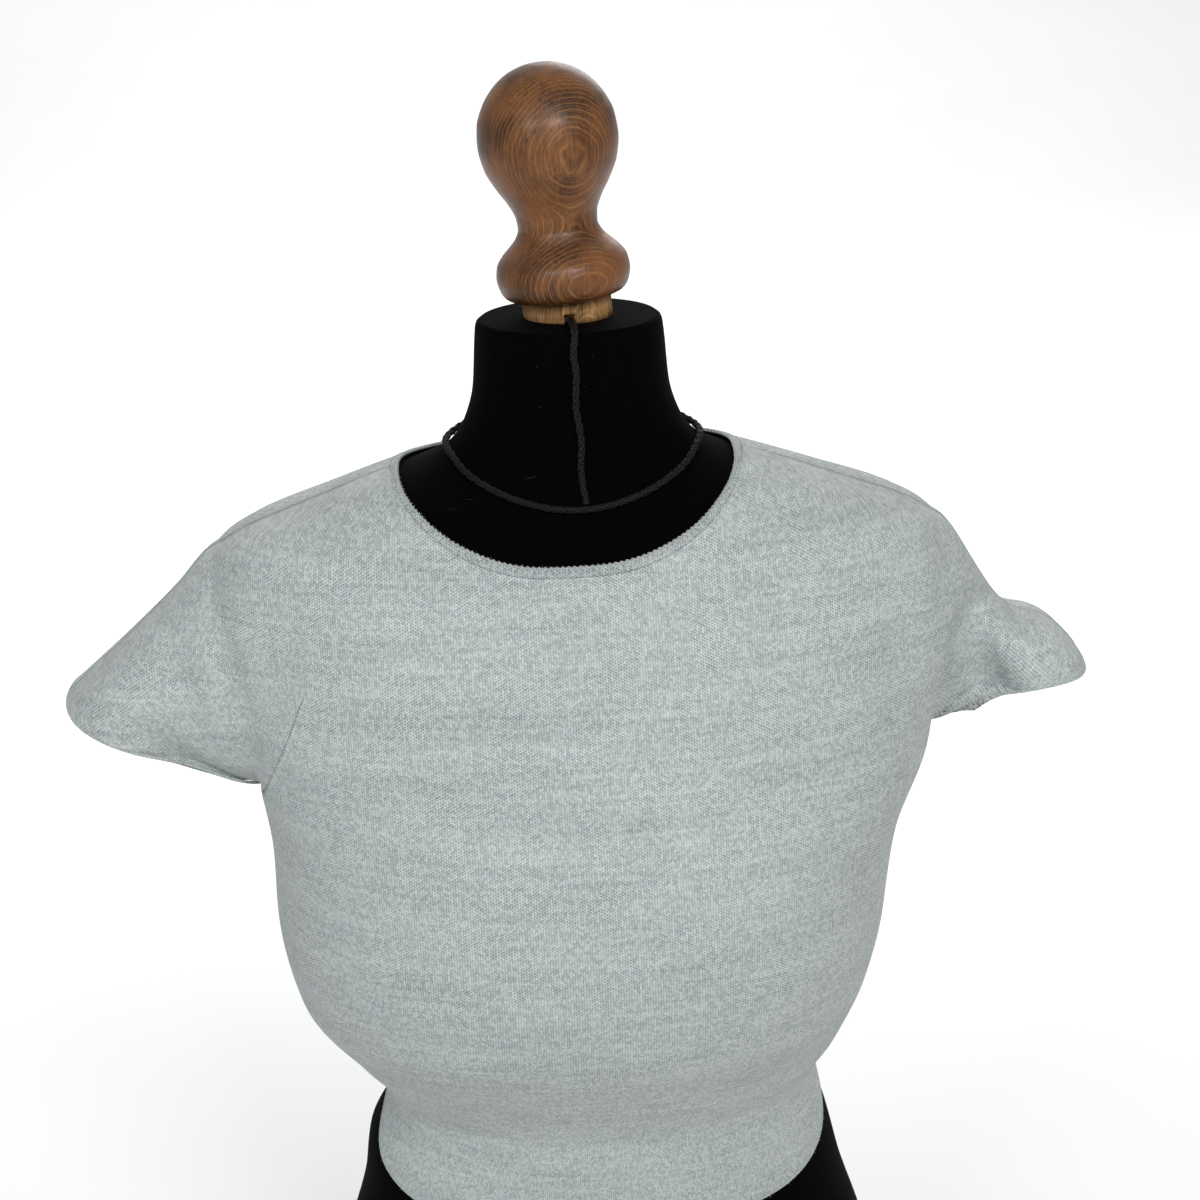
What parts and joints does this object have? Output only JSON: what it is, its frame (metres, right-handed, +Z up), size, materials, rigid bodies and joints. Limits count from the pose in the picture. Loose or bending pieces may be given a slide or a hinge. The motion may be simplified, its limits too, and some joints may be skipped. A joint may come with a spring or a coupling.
{
  "type": "crop top on a dress form",
  "caption": "Fine-knit crop top with a wide round neckline and cut-on cap sleeves, worn on a limbless black dress form with a turned wooden neck knob.",
  "frame": {"origin": "on the surface that the form stands on, under the middle of the whole object", "axes": "+Z up along the form, -Y towards the front of the top, +X towards its viewer's right"},
  "size_m": [0.5346, 0.2542, 0.8151],
  "materials": {
    "knit": "pale silvery grey fine knit with a soft sheen",
    "jersey": "matt black jersey",
    "varnished_wood": "brown varnish over a clear grain",
    "raw_wood": "raw, unvarnished",
    "braid": "matt black braid"
  },
  "bodies": {
    "root": {"top_front": "knit", "top_back": "knit", "form_body": "jersey", "neck_knob": "varnished_wood", "knob_tenon": "raw_wood", "cord_ring": "braid", "cord_drop": "braid"}
  },
  "joints": []
}
